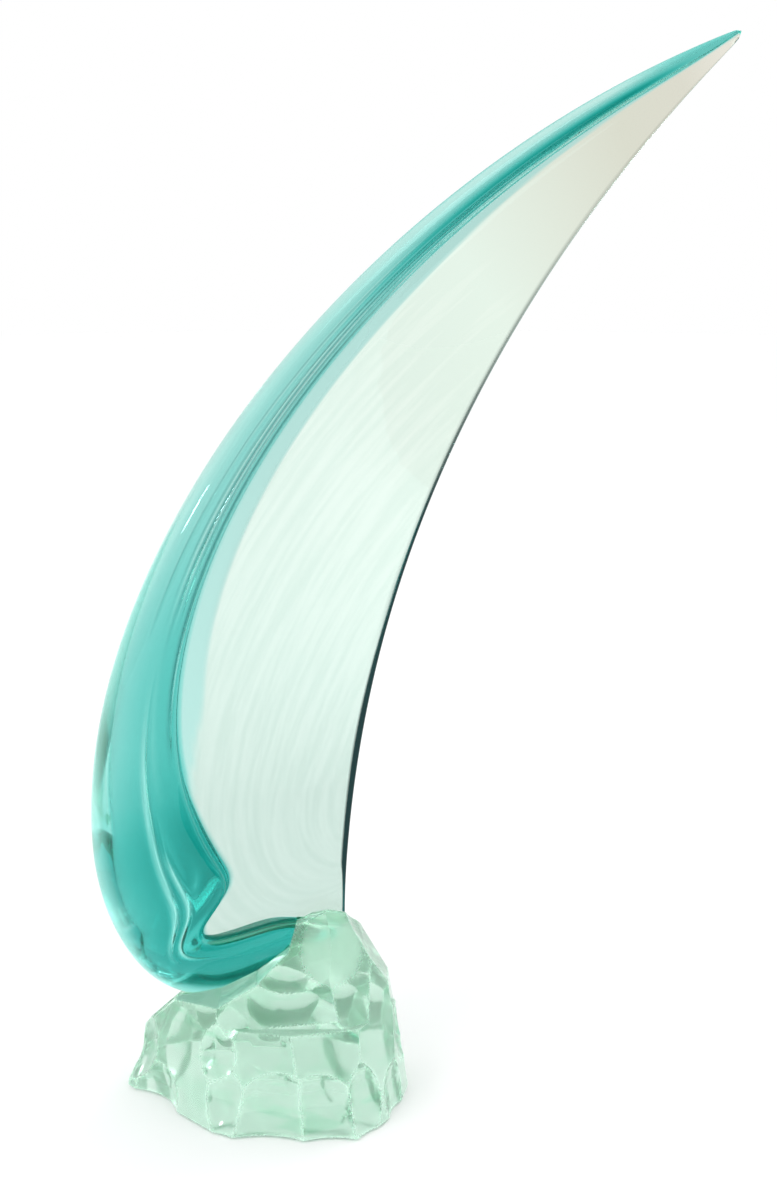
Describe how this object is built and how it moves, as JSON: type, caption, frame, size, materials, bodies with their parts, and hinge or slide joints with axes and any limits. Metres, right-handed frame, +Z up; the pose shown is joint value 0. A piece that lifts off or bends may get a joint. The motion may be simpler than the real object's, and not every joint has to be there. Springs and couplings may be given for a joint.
{
  "type": "glass wave sculpture",
  "caption": "Curling wave of teal glass with a thick rolled rim and a thin pale sheet, glued into a notch in a chiselled block of pale green glass that stands on clear bumpers.",
  "frame": {"origin": "on the table, under the middle of the overall width, midway between the rock's front and back", "axes": "+Z up, +X to the viewer's right, the way the wave curls, and -Y towards the viewer"},
  "size_m": [0.3576, 0.145, 0.6115],
  "materials": {
    "wave_glass": "polished clear teal glass, pale where it is thin",
    "rock_glass": "chiselled pale green glass with frosted edges",
    "bond_adhesive": "clear cured adhesive",
    "bumper_clear": "translucent soft bumper"
  },
  "bodies": {
    "root": {"glass_wave": "wave_glass", "rock_base": "rock_glass", "bond_bed": "bond_adhesive", "bumper_front_left": "bumper_clear", "bumper_front_right": "bumper_clear", "bumper_back_left": "bumper_clear", "bumper_back_right": "bumper_clear"}
  },
  "joints": []
}
